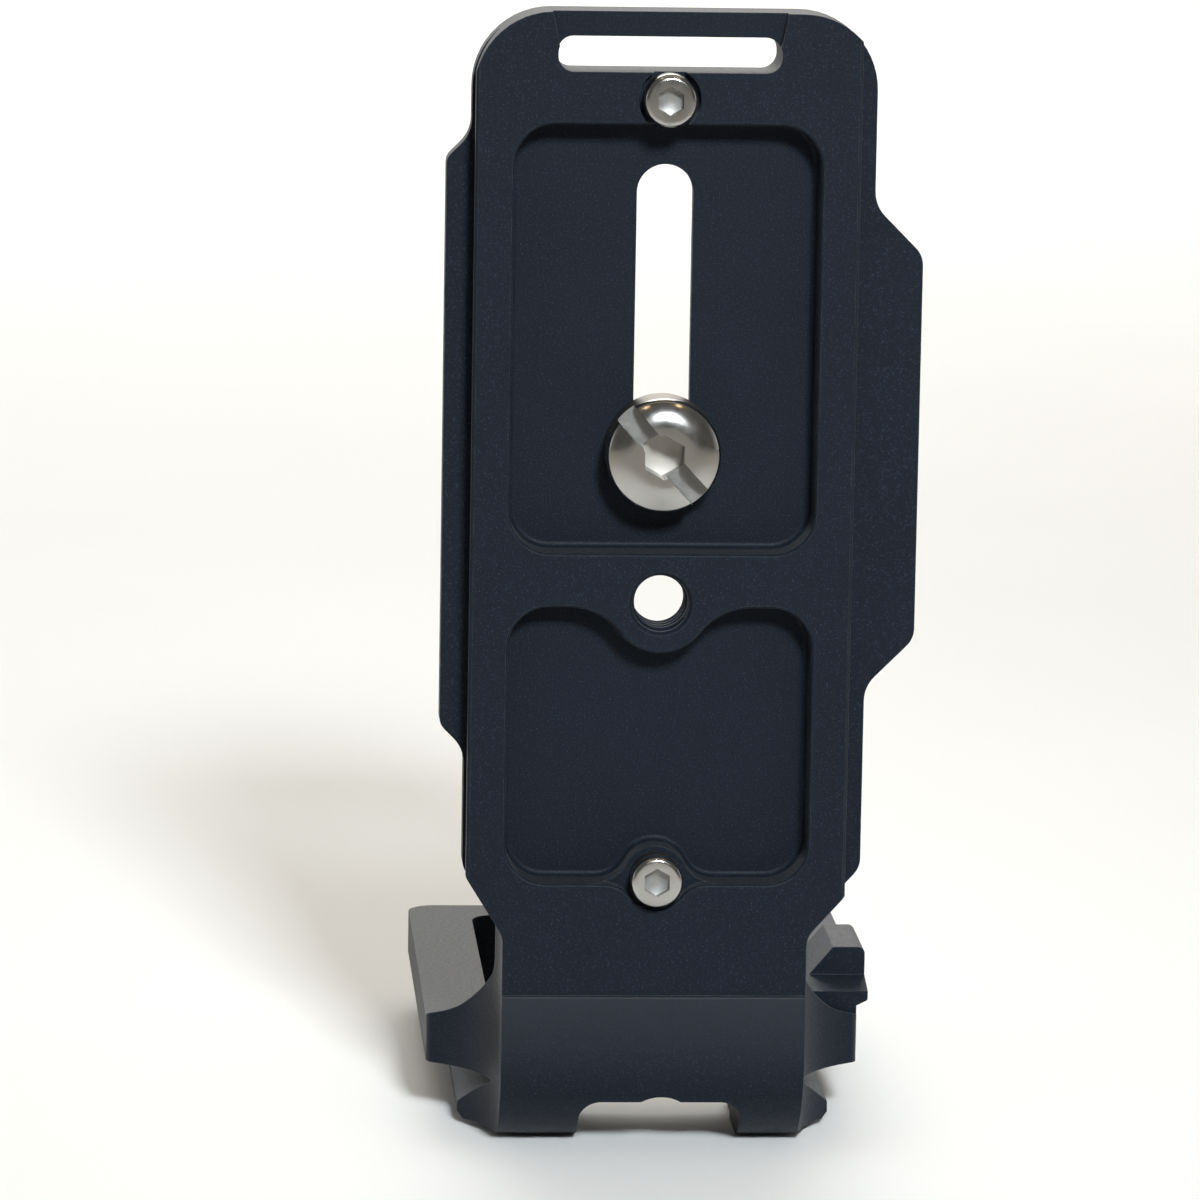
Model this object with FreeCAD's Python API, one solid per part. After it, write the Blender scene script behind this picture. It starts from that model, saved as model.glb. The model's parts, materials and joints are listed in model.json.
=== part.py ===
import FreeCAD
import Part
import math
import os

# A camera L-bracket, standing on its side plate.
# X runs to the right across the base plate, Y runs from the dovetail face towards the camera,
# Z is up. X = 0 is the centre line, Y = 0 the dovetail face and Z = 0 the surface it stands on.
# The finished pieces are then moved so that the origin is the bottom centre of the whole.
# All sizes are in millimetres.

# Both dovetails
DOVETAIL_WIDTH = 38.0
LIP_LAND = 1.7
EDGE_BREAK = 0.3

# Base plate: its dovetail, the margins beside it and the flange behind it
BASE_UNDERCUT = 2.4
BASE_GROOVE_WALL = 0.2
BASE_FLANGE_THICKNESS = 2.8
LEFT_MARGIN = 0.2
RIGHT_MARGIN = 1.9
TOP_CORNER_RADIUS = 7.8

# Flanges that carry the camera, wider than the base plate
LEFT_FLANGE_REACH = 2.45
LEFT_FLANGE_LOW = 40.7
LEFT_FLANGE_BELOW_TOP = 12.4
RIGHT_FLANGE_REACH = 4.9
RIGHT_FLANGE_LOW = 47.2
RIGHT_FLANGE_BELOW_TOP = 19.2
FLANGE_ROOT_RADIUS = 3.5
LEFT_CORNER_RADIUS = 1.6
RIGHT_CORNER_RADIUS = 2.5

# Neck and bend
NECK_INSET = 3.75
NECK_SHOULDER_TOP = 28.7
NECK_SHOULDER_DROP = 6.3
SHOULDER_RADIUS = 2.4
STEP_HEIGHT = 16.4
STEP_PROUD = 0.4
STEP_ROUND = 0.25
BEND_RADIUS = 10.8
GUSSET_RUN = 8.25
GUSSET_RISE = 7.1
GUSSET_TOP_RADIUS = 3.0
GUSSET_FOOT_RADIUS = 9.5

# Side plate: its dovetail, set back from the bend, the shelves beside it and the window in it
SIDE_STEP = 0.7
SIDE_UNDERCUT = 3.2
SIDE_GROOVE_WALL = 0.35
SIDE_FLANGE_THICKNESS = 4.45
SIDE_EDGE_BREAK = 0.6
SIDE_SHELF = 3.15
SIDE_FRONT = 15.5
SIDE_LENGTH = 55.5
SIDE_CORNER_RADIUS = 3.0
FLARE_RADIUS = 13.0
FLARE_LAND = 0.9
FLARE_CORNER_RADIUS = 1.4
RAIL_WIDTH = 6.8
WINDOW_MARGIN = 6.45
WINDOW_RADIUS = 3.0
CROSSBAR = 4.9

# Rim along the right rail, and its raised lip with a ramp at each end
RIM_RISE = 2.8
RIM_OVERHANG = 1.15
RIM_UNDERSIDE_RISE = 1.85
RIM_SETBACK = 0.9
RIM_SLOPE = 50.0
RAISED_RISE = 3.8
RAISED_TOP_WIDTH = 3.3
RAISED_SETBACK = 3.8
RAISED_LENGTH = 11.0
RAISED_EDGE_RADIUS = 0.7
RAMP_RISE = 0.9

# Channel under the bend
CHANNEL_WIDTH = 16.4
CHANNEL_HEIGHT = 5.15
CHANNEL_OFFSET = 1.0
CHANNEL_RADIUS = 2.2
CHANNEL_ARCH_WIDTH = 4.0
CHANNEL_ARCH_RISE = 0.6

# Stop screws at both ends of the base dovetail
LOW_STOP_BELOW_SHOULDER = 0.4
HIGH_STOP_ABOVE_POCKET = 2.45
STOP_HEAD_DIAMETER = 5.2
STOP_HEAD_HEIGHT = 3.0
STOP_HEAD_CHAMFER = 0.4
STOP_HEX_ACROSS_FLATS = 2.5
STOP_HEX_DEPTH = 1.4
STOP_THREAD_DIAMETER = 3.0
STOP_THREAD_LENGTH = 5.0
STOP_HOLE_FIT = 0.05
COUNTERBORE_GAP = 0.5
COUNTERBORE_DEPTH = 1.2

# Threaded hole for a quarter-inch screw
TRIPOD_HOLE_DIAMETER = 5.75
TRIPOD_HOLE_CHAMFER = 0.35
TRIPOD_HOLE_ABOVE_POCKET = 0.4

# Pockets in the dovetail face
POCKET_FLOOR = 2.9
POCKET_WALL = 3.85
POCKET_RADIUS = 4.1
POCKET_FLOOR_RADIUS = 0.6
POCKET_RIM_BREAK = 0.2
POCKET_BELOW_STOP = 0.5
LOWER_POCKET_HEIGHT = 28.0
POCKET_SPACING = 5.4
UPPER_POCKET_HEIGHT = 42.65
HOLE_BOSS_WALL = 2.1
HOLE_BOSS_SHOULDER = 1.9
STOP_BOSS_WALL = 0.1
STOP_BOSS_BLEND = 3.4

# Strap slot
STRAP_SLOT_WIDTH = 22.0
STRAP_SLOT_HEIGHT = 3.4
STRAP_SLOT_ABOVE_STOP = 2.65
STRAP_BAR = 2.45
STRAP_SLOT_RADIUS = 1.55
STRAP_BAR_RECESS = 1.5
STRAP_RECESS_FLARE = 1.0

# Camera screw
HEAD_DIAMETER = 11.4
HEAD_HEIGHT = 6.0
HEAD_CROWN_DIAMETER = 5.6
DOME_SLOPE = 34.0
HEAD_EDGE_RADIUS = 2.4
HEAD_SEAT_CHAMFER = 0.3
COIN_SLOT_WIDTH = 2.2
COIN_SLOT_DEPTH = 2.6
COIN_SLOT_ANGLE = 48.0
HEX_ACROSS_FLATS = 3.9
HEX_DEPTH = 4.0
SCREW_NECK_DIAMETER = 5.1
THREAD_DIAMETER = 6.35
THREAD_REACH = 5.5
THREAD_LEAD_CHAMFER = 0.6

# Slot of the camera screw, as far as the pocket's ends leave room for its travel
NECK_CLEARANCE = 0.25
REST_GAP = 0.05
SLOT_ABOVE_POCKET_LOW = 10.1
SLOT_BELOW_POCKET_HIGH = 7.1

# Retaining ring on the neck of the camera screw, and its channel on the camera side
RING_DIAMETER = 9.6
RING_THICKNESS = 0.8
RING_OPENING = 3.6
RING_FIT = 0.04
RING_GAP = 0.05
RING_CHANNEL_GAP = 0.5
RING_SUNK = 0.3

# How far cutting tools run past the faces that they break through
OVERRUN = 2.0
# How far a feature reaches into the body that carries it
ROOT = 1.0
# Points nearer to each other than this are one point
SAME_POINT = 1e-6

# Sizes that follow from those above
HALF_DOVETAIL = DOVETAIL_WIDTH / 2
HALF_NECK = HALF_DOVETAIL - NECK_INSET
HALF_SIDE = HALF_DOVETAIL + SIDE_SHELF
HALF_WINDOW = HALF_SIDE - RAIL_WIDTH
HALF_POCKET = HALF_DOVETAIL - POCKET_WALL
BASE_LEFT = HALF_DOVETAIL + LEFT_MARGIN
BASE_RIGHT = HALF_DOVETAIL + RIGHT_MARGIN
BASE_GROOVE_DEPTH = LIP_LAND + BASE_UNDERCUT + BASE_GROOVE_WALL
BASE_THICKNESS = BASE_GROOVE_DEPTH + BASE_FLANGE_THICKNESS
POCKET_DEPTH = BASE_THICKNESS - POCKET_FLOOR
SIDE_SHELF_HEIGHT = SIDE_STEP + LIP_LAND + SIDE_UNDERCUT + SIDE_GROOVE_WALL
SIDE_TOP = SIDE_SHELF_HEIGHT + SIDE_FLANGE_THICKNESS
SIDE_END = SIDE_FRONT + SIDE_LENGTH
WINDOW_START = BASE_THICKNESS + GUSSET_RUN + WINDOW_MARGIN
WINDOW_END = SIDE_END - CROSSBAR
RIM_TOP = SIDE_TOP + RIM_RISE
RIM_RIGHT = HALF_SIDE + RIM_OVERHANG
RIM_START = SIDE_FRONT + RIM_SETBACK
RIM_END = SIDE_END - SIDE_CORNER_RADIUS
RAISED_TOP = RIM_TOP + RAISED_RISE
RAISED_START = RIM_START + RAISED_SETBACK
RAISED_END = RAISED_START + RAISED_LENGTH
NECK_SHOULDER_LOW = NECK_SHOULDER_TOP - NECK_SHOULDER_DROP
JOIN_HEIGHT = NECK_SHOULDER_LOW - SHOULDER_RADIUS
COUNTERBORE_DIAMETER = STOP_HEAD_DIAMETER + 2 * COUNTERBORE_GAP
HOLE_BOSS_RADIUS = TRIPOD_HOLE_DIAMETER / 2 + HOLE_BOSS_WALL
STOP_BOSS_RADIUS = COUNTERBORE_DIAMETER / 2 + STOP_BOSS_WALL
SCREW_SLOT_WIDTH = SCREW_NECK_DIAMETER + 2 * NECK_CLEARANCE
RING_CHANNEL_WIDTH = RING_DIAMETER + 2 * RING_CHANNEL_GAP
RING_FLOOR = BASE_THICKNESS - RING_SUNK - RING_THICKNESS - 2 * RING_GAP
HEAD_SEAT = POCKET_DEPTH - REST_GAP
HEAD_CROWN = HEAD_SEAT - HEAD_HEIGHT
STOP_CROWN = COUNTERBORE_DEPTH - STOP_HEAD_HEIGHT

# Heights that follow, from the neck up to the strap bar
LOW_STOP = NECK_SHOULDER_TOP - LOW_STOP_BELOW_SHOULDER
LOWER_POCKET_LOW = LOW_STOP - POCKET_BELOW_STOP
LOWER_POCKET_HIGH = LOWER_POCKET_LOW + LOWER_POCKET_HEIGHT
TRIPOD_HOLE_HEIGHT = LOWER_POCKET_HIGH + TRIPOD_HOLE_ABOVE_POCKET
UPPER_POCKET_LOW = LOWER_POCKET_HIGH + POCKET_SPACING
UPPER_POCKET_HIGH = UPPER_POCKET_LOW + UPPER_POCKET_HEIGHT
SCREW_SLOT_LOW = UPPER_POCKET_LOW + SLOT_ABOVE_POCKET_LOW
SCREW_SLOT_HIGH = UPPER_POCKET_HIGH - SLOT_BELOW_POCKET_HIGH
SCREW_REST = SCREW_SLOT_LOW - NECK_CLEARANCE + REST_GAP
HIGH_STOP = UPPER_POCKET_HIGH + HIGH_STOP_ABOVE_POCKET
STRAP_SLOT_LOW = HIGH_STOP + STRAP_SLOT_ABOVE_STOP
STRAP_SLOT_TOP = STRAP_SLOT_LOW + STRAP_SLOT_HEIGHT
BASE_TOP = STRAP_SLOT_TOP + STRAP_BAR

# Outer limits of the whole, from which its middle follows
LEFT_LIMIT = -max(HALF_SIDE, BASE_LEFT + LEFT_FLANGE_REACH)
RIGHT_LIMIT = max(RIM_RIGHT, BASE_RIGHT + RIGHT_FLANGE_REACH)
NEAR_LIMIT = min(HEAD_CROWN, STOP_CROWN, -STEP_PROUD)
MIDDLE_X = (LEFT_LIMIT + RIGHT_LIMIT) / 2
MIDDLE_Y = (NEAR_LIMIT + SIDE_END) / 2


def front(u, v, depth=0.0):
    """Point of the front view: u to the right, v up."""
    return FreeCAD.Vector(u, depth, v)


def plan(u, v, height=0.0):
    """Point of the plan: u to the right, v towards the camera."""
    return FreeCAD.Vector(u, v, height)


def end(u, v, offset=0.0):
    """Point of the end view: u towards the camera, v up."""
    return FreeCAD.Vector(offset, u, v)


NORMALS = {
    front: FreeCAD.Vector(0, 1, 0),
    plan: FreeCAD.Vector(0, 0, 1),
    end: FreeCAD.Vector(1, 0, 0),
}


def corner_arc(before, corner, after, radius):
    """Start, middle and end of the arc that rounds one corner of an outline."""
    to_before = (before - corner).normalize()
    to_after = (after - corner).normalize()
    half = to_before.getAngle(to_after) / 2
    inward = (to_before + to_after).normalize()
    tangent = radius / math.tan(half)
    middle = corner + inward * (radius / math.sin(half) - radius)
    return corner + to_before * tangent, middle, corner + to_after * tangent


def outline(corners, view):
    """Closed face through corners (u, v, radius), drawn in one of the three views."""
    points = [view(u, v) for u, v, radius in corners]
    stretches = []
    for index, (u, v, radius) in enumerate(corners):
        before = points[index - 1]
        after = points[(index + 1) % len(points)]
        if radius > 0:
            stretches.append(corner_arc(before, points[index], after, radius))
        else:
            stretches.append((points[index], None, points[index]))
    edges = []
    for index, (start, middle, finish) in enumerate(stretches):
        if middle:
            edges.append(Part.Arc(start, middle, finish).toShape())
        following = stretches[(index + 1) % len(stretches)][0]
        if finish.distanceToPoint(following) > SAME_POINT:
            edges.append(Part.LineSegment(finish, following).toShape())
    return Part.Face(Part.Wire(edges))


def prism(corners, view, low, high):
    """Outline in one view, extruded along that view's normal from low to high."""
    normal = NORMALS[view]
    solid = outline(corners, view).extrude(normal * (high - low))
    solid.translate(normal * low)
    return solid


def rectangle(left, right, low, high, radius=0.0):
    """Corners of a rectangle with rounded corners."""
    return [(left, low, radius), (right, low, radius), (right, high, radius), (left, high, radius)]


def rod(diameter, height, near, far):
    """Round bar along Y on the centre line."""
    return Part.makeCylinder(diameter / 2, far - near, front(0, height, near), FreeCAD.Vector(0, 1, 0))


def cone(near_diameter, far_diameter, height, near, far):
    """Tapered bar along Y on the centre line."""
    axis = FreeCAD.Vector(0, 1, 0)
    return Part.makeCone(near_diameter / 2, far_diameter / 2, far - near, front(0, height, near), axis)


def hexagon_bar(across_flats, height, near, far):
    """Hexagonal bar along Y on the centre line."""
    radius = across_flats / math.sqrt(3)
    corners = []
    for step in range(6):
        angle = math.radians(60 * step + 30)
        corners.append((radius * math.cos(angle), height + radius * math.sin(angle), 0))
    return prism(corners, front, near, far)


def profile_of_the_l():
    """Side view of the bracket: base plate, proud bend, side plate and the gusset between them."""
    corners = [
        (0, BASE_TOP, 0),
        (0, STEP_HEIGHT, 0),
        (-STEP_PROUD, STEP_HEIGHT, STEP_ROUND),
        (-STEP_PROUD, 0, BEND_RADIUS),
        (SIDE_FRONT, 0, 0),
        (SIDE_FRONT, SIDE_STEP, 0),
        (SIDE_END, SIDE_STEP, 0),
        (SIDE_END, SIDE_TOP, 0),
        (BASE_THICKNESS + GUSSET_RUN, SIDE_TOP, GUSSET_FOOT_RADIUS),
        (BASE_THICKNESS, SIDE_TOP + GUSSET_RISE, GUSSET_TOP_RADIUS),
        (BASE_THICKNESS, BASE_TOP, 0),
    ]
    return prism(corners, end, LEFT_LIMIT - OVERRUN, RIGHT_LIMIT + OVERRUN)


def base_outline():
    """Front view of the base plate with its flanges, shoulders and neck."""
    right = BASE_RIGHT
    left = -BASE_LEFT
    right_out = right + RIGHT_FLANGE_REACH
    left_out = left - LEFT_FLANGE_REACH
    right_high = BASE_TOP - RIGHT_FLANGE_BELOW_TOP
    left_high = BASE_TOP - LEFT_FLANGE_BELOW_TOP
    return [
        (HALF_NECK, JOIN_HEIGHT, 0),
        (HALF_NECK, NECK_SHOULDER_LOW, SHOULDER_RADIUS),
        (right, NECK_SHOULDER_TOP, SHOULDER_RADIUS),
        (right, RIGHT_FLANGE_LOW, FLANGE_ROOT_RADIUS),
        (right_out, RIGHT_FLANGE_LOW + RIGHT_FLANGE_REACH, RIGHT_CORNER_RADIUS),
        (right_out, right_high - RIGHT_FLANGE_REACH, RIGHT_CORNER_RADIUS),
        (right, right_high, FLANGE_ROOT_RADIUS),
        (right, BASE_TOP, TOP_CORNER_RADIUS),
        (left, BASE_TOP, TOP_CORNER_RADIUS),
        (left, left_high, FLANGE_ROOT_RADIUS),
        (left_out, left_high - LEFT_FLANGE_REACH, LEFT_CORNER_RADIUS),
        (left_out, LEFT_FLANGE_LOW + LEFT_FLANGE_REACH, LEFT_CORNER_RADIUS),
        (left, LEFT_FLANGE_LOW, FLANGE_ROOT_RADIUS),
        (left, NECK_SHOULDER_TOP, SHOULDER_RADIUS),
        (-HALF_NECK, NECK_SHOULDER_LOW, SHOULDER_RADIUS),
        (-HALF_NECK, JOIN_HEIGHT, 0),
    ]


def side_outline():
    """Plan of the bend and the side plate. Concave flares widen the neck to the side plate."""
    near = -STEP_PROUD - OVERRUN
    spread = HALF_SIDE - HALF_NECK
    turn = math.acos(1 - (spread - FLARE_LAND) / FLARE_RADIUS)
    knee = SIDE_FRONT - spread / math.tan(turn)
    return [
        (-HALF_NECK, near, 0),
        (HALF_NECK, near, 0),
        (HALF_NECK, knee, FLARE_RADIUS),
        (HALF_SIDE, SIDE_FRONT, FLARE_CORNER_RADIUS),
        (HALF_SIDE, SIDE_END, SIDE_CORNER_RADIUS),
        (-HALF_SIDE, SIDE_END, SIDE_CORNER_RADIUS),
        (-HALF_SIDE, SIDE_FRONT, FLARE_CORNER_RADIUS),
        (-HALF_NECK, knee, FLARE_RADIUS),
    ]


def groove_corners(side, face, undercut, wall, edge_break):
    """Section of a dovetail groove on one side, from the edge of the dovetail's face inwards."""
    lip = side * HALF_DOVETAIL
    root = lip - side * undercut
    slope_end = face + LIP_LAND + undercut
    reach = side * (RIGHT_LIMIT - LEFT_LIMIT)
    return [
        (lip - side * edge_break, face, 0),
        (lip, face + edge_break, 0),
        (lip, face + LIP_LAND, EDGE_BREAK),
        (root, slope_end, 0),
        (root, slope_end + wall, 0),
        (reach, slope_end + wall, 0),
        (reach, -OVERRUN, 0),
    ]


def base_groove(side):
    """Dovetail groove along one edge of the base plate."""
    edge = side * (HALF_DOVETAIL - EDGE_BREAK)
    corners = [(edge, -OVERRUN, 0)]
    corners += groove_corners(side, 0, BASE_UNDERCUT, BASE_GROOVE_WALL, EDGE_BREAK)
    return prism(corners, plan, JOIN_HEIGHT, BASE_TOP + OVERRUN)


def side_groove(side):
    """Dovetail groove along one edge of the side plate, and the face beside the bend."""
    neck = side * HALF_NECK
    corners = [(neck, -OVERRUN, 0), (neck, SIDE_STEP, 0)]
    corners += groove_corners(side, SIDE_STEP, SIDE_UNDERCUT, SIDE_GROOVE_WALL, SIDE_EDGE_BREAK)
    return prism(corners, front, 0, SIDE_END + OVERRUN)


def rim_section(top, edge_radius):
    """Section of the rim on the right rail: a sloped inner side, a flat top and an overhang."""
    slope_top = RIM_RIGHT - RAISED_TOP_WIDTH
    steepness = math.tan(math.radians(RIM_SLOPE))
    inner_top = slope_top - (RAISED_TOP - top) / steepness
    slope_foot = RAISED_TOP - (slope_top - HALF_WINDOW) * steepness
    underside = SIDE_TOP + RIM_UNDERSIDE_RISE
    return [
        (HALF_WINDOW, SIDE_TOP - ROOT, 0),
        (HALF_SIDE, SIDE_TOP - ROOT, 0),
        (HALF_SIDE, underside - RIM_OVERHANG / 2, 0),
        (RIM_RIGHT, underside, EDGE_BREAK),
        (RIM_RIGHT, top, edge_radius),
        (inner_top, top, EDGE_BREAK),
        (HALF_WINDOW, slope_foot, 0),
    ]


def rim():
    """Rim along the right rail, which holds the camera square, with its raised lip near the bend."""
    ramp_top = RIM_TOP + RAMP_RISE
    ramp_end = RAISED_END + RAISED_SETBACK
    side_view = [
        (RIM_START, RIM_TOP - ROOT, 0),
        (ramp_end, RIM_TOP - ROOT, 0),
        (ramp_end, RIM_TOP, 0),
        (RAISED_END, ramp_top, 0),
        (RAISED_END, RAISED_TOP, 0),
        (RAISED_START, RAISED_TOP, 0),
        (RAISED_START, ramp_top, 0),
        (RIM_START, RIM_TOP, 0),
    ]
    raised = prism(rim_section(RAISED_TOP, RAISED_EDGE_RADIUS), front, RIM_START, ramp_end)
    raised = raised.common(prism(side_view, end, 0, RIM_RIGHT + OVERRUN))
    return prism(rim_section(RIM_TOP, EDGE_BREAK), front, RIM_START, RIM_END).fuse(raised)


def edges_at(solid, depth):
    """Edges of a solid that lie wholly at one depth below the dovetail face."""
    chosen = []
    for edge in solid.Edges:
        box = edge.BoundBox
        if max(abs(box.YMin - depth), abs(box.YMax - depth)) < EDGE_BREAK / 2:
            chosen.append(edge)
    return chosen


def break_pocket_rims(solid, pockets):
    """Chamfer the edges in which the pockets meet the dovetail face."""
    rims = []
    for edge in edges_at(solid, 0):
        for pocket in pockets:
            if pocket.BoundBox.isInside(edge.BoundBox):
                rims.append(edge)
    return solid.makeChamfer(POCKET_RIM_BREAK, rims)


def pocket_floor_round(tool):
    """Round the edges of a pocket tool that make the pocket's floor corner."""
    return tool.makeFillet(POCKET_FLOOR_RADIUS, edges_at(tool, POCKET_DEPTH))


def upper_pocket():
    """Rounded rectangular pocket round the camera screw."""
    half = HALF_POCKET
    corners = rectangle(-half, half, UPPER_POCKET_LOW, UPPER_POCKET_HIGH, POCKET_RADIUS)
    return pocket_floor_round(prism(corners, front, -OVERRUN, POCKET_DEPTH))


def boss_corners(edge, pocket_side, centre, radius, blend):
    """Corners by which a pocket edge bows round a boss, from left to right.

    The boss arc and the two blend arcs meet on common tangents. Those tangents cross the edge
    on either side of the boss, and each other on the centre line.
    """
    drop = edge + pocket_side * blend - centre
    reach = radius + blend
    across = math.sqrt(reach ** 2 - drop ** 2)
    tip = centre + radius * reach / drop
    crossing = (radius * reach - drop * (edge - centre)) / across
    return [(-crossing, edge, blend), (0, tip, radius), (crossing, edge, blend)]


def hole_boss_blend():
    """Radius that blends the boss of the tripod hole into the pocket's edge, up to the edge's shoulder."""
    across = HALF_POCKET - POCKET_RADIUS - HOLE_BOSS_SHOULDER
    offset = TRIPOD_HOLE_ABOVE_POCKET
    return (across ** 2 - HOLE_BOSS_RADIUS ** 2 + offset ** 2) / (2 * (HOLE_BOSS_RADIUS - offset))


def lower_pocket():
    """Pocket whose upper edge bows round the tripod hole and whose lower edge round a stop screw."""
    half = HALF_POCKET
    low = LOWER_POCKET_LOW
    high = LOWER_POCKET_HIGH
    hole_boss = boss_corners(high, -1, TRIPOD_HOLE_HEIGHT, HOLE_BOSS_RADIUS, hole_boss_blend())
    stop_boss = boss_corners(low, 1, LOW_STOP, STOP_BOSS_RADIUS, STOP_BOSS_BLEND)
    corners = [(-half, low, POCKET_RADIUS)] + stop_boss + [(half, low, POCKET_RADIUS)]
    corners += [(half, high, POCKET_RADIUS)] + hole_boss[::-1] + [(-half, high, POCKET_RADIUS)]
    return pocket_floor_round(prism(corners, front, -OVERRUN, POCKET_DEPTH))


def stop_seat():
    """Shallow seat of the lower stop screw, open to the pocket and blended into the pocket's lower edge."""
    straight = HALF_POCKET - POCKET_RADIUS
    low = LOWER_POCKET_LOW
    top = LOW_STOP + STOP_BOSS_RADIUS + EDGE_BREAK
    foot = boss_corners(low, -1, LOW_STOP, COUNTERBORE_DIAMETER / 2, STOP_BOSS_BLEND)
    corners = [(-straight, low, 0)] + foot + [(straight, low, 0), (straight, top, 0), (-straight, top, 0)]
    return prism(corners, front, -OVERRUN, COUNTERBORE_DEPTH)


def tripod_hole():
    """Through hole with a chamfer at both ends."""
    wide = TRIPOD_HOLE_DIAMETER + 2 * TRIPOD_HOLE_CHAMFER
    far = BASE_THICKNESS
    height = TRIPOD_HOLE_HEIGHT
    bore = rod(TRIPOD_HOLE_DIAMETER, height, -OVERRUN, far + OVERRUN)
    near_chamfer = cone(wide, TRIPOD_HOLE_DIAMETER, height, 0, TRIPOD_HOLE_CHAMFER)
    far_chamfer = cone(TRIPOD_HOLE_DIAMETER, wide, height, far - TRIPOD_HOLE_CHAMFER, far)
    return bore.fuse([near_chamfer, far_chamfer])


def strap_slot():
    """Slot for a strap, and the recess that sets its bar back from the dovetail face."""
    half = STRAP_SLOT_WIDTH / 2
    corners = rectangle(-half, half, STRAP_SLOT_LOW, STRAP_SLOT_TOP, STRAP_SLOT_RADIUS)
    slot = prism(corners, front, -OVERRUN, BASE_THICKNESS + OVERRUN)
    middle = STRAP_SLOT_TOP - STRAP_SLOT_HEIGHT / 2
    narrow = half - EDGE_BREAK
    wide = half + STRAP_RECESS_FLARE
    top = BASE_TOP + OVERRUN
    recess = [(-narrow, middle, 0), (narrow, middle, 0), (wide, top, 0), (-wide, top, 0)]
    return slot.fuse(prism(recess, front, -OVERRUN, STRAP_BAR_RECESS))


def stadium(width, near, far):
    """Round-ended bar along the travel of the camera screw."""
    half = width / 2
    low = SCREW_SLOT_LOW
    high = SCREW_SLOT_HIGH
    column = prism(rectangle(-half, half, low, high), front, near, far)
    return column.fuse([rod(width, low, near, far), rod(width, high, near, far)]).removeSplitter()


def screw_slot():
    """Slot of the camera screw and the shallow channel of its ring on the camera side."""
    slot = stadium(SCREW_SLOT_WIDTH, 0, BASE_THICKNESS + OVERRUN)
    channel = stadium(RING_CHANNEL_WIDTH, RING_FLOOR, BASE_THICKNESS + OVERRUN)
    return slot.fuse(channel)


def stop_screw_hole(height):
    """Hole with a counterbore for one stop screw."""
    hole = rod(STOP_THREAD_DIAMETER, height, 0, BASE_THICKNESS + OVERRUN)
    return hole.fuse(rod(COUNTERBORE_DIAMETER, height, -OVERRUN, COUNTERBORE_DEPTH))


def window():
    """Opening in the side plate that gives access to the camera's sockets."""
    corners = rectangle(-HALF_WINDOW, HALF_WINDOW, WINDOW_START, WINDOW_END, WINDOW_RADIUS)
    return prism(corners, plan, -OVERRUN, RAISED_TOP + OVERRUN)


def bend_channel():
    """Channel under the bend, from the outside into the window, with a shallow arch in its roof."""
    half = CHANNEL_WIDTH / 2
    left = CHANNEL_OFFSET - half
    right = CHANNEL_OFFSET + half
    roof = CHANNEL_HEIGHT
    corners = [
        (left, -OVERRUN, 0),
        (right, -OVERRUN, 0),
        (right, roof, CHANNEL_RADIUS),
        (left, roof, CHANNEL_RADIUS),
    ]
    near = -STEP_PROUD - OVERRUN
    far = WINDOW_START + WINDOW_RADIUS
    channel = prism(corners, front, near, far)
    chord = CHANNEL_ARCH_WIDTH / 2
    radius = (chord ** 2 + CHANNEL_ARCH_RISE ** 2) / (2 * CHANNEL_ARCH_RISE)
    centre = front(CHANNEL_OFFSET, roof + CHANNEL_ARCH_RISE - radius, near)
    arch = Part.makeCylinder(radius, far - near, centre, FreeCAD.Vector(0, 1, 0))
    return channel.fuse(arch)


def make_bracket():
    """The one-piece bracket."""
    solid = profile_of_the_l()
    upper = solid.common(prism(base_outline(), front, -OVERRUN, BASE_THICKNESS))
    lower = solid.common(prism(side_outline(), plan, -OVERRUN, NECK_SHOULDER_LOW))
    solid = upper.fuse([lower, rim()])
    grooves = [base_groove(-1), base_groove(1), side_groove(-1), side_groove(1)]
    pockets = [upper_pocket(), lower_pocket(), stop_seat()]
    solid = break_pocket_rims(solid.cut(grooves + pockets).removeSplitter(), pockets)
    cuts = [tripod_hole(), strap_slot(), screw_slot(), window(), bend_channel()]
    cuts += [stop_screw_hole(LOW_STOP), stop_screw_hole(HIGH_STOP)]
    return solid.cut(cuts).removeSplitter()


def revolved(profile, height):
    """Turn a profile of (radius, y, corner radius) round the Y axis at one height."""
    face = outline(profile, lambda u, v: FreeCAD.Vector(u, v, height))
    return face.revolve(FreeCAD.Vector(0, 0, height), FreeCAD.Vector(0, 1, 0), 360)


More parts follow.
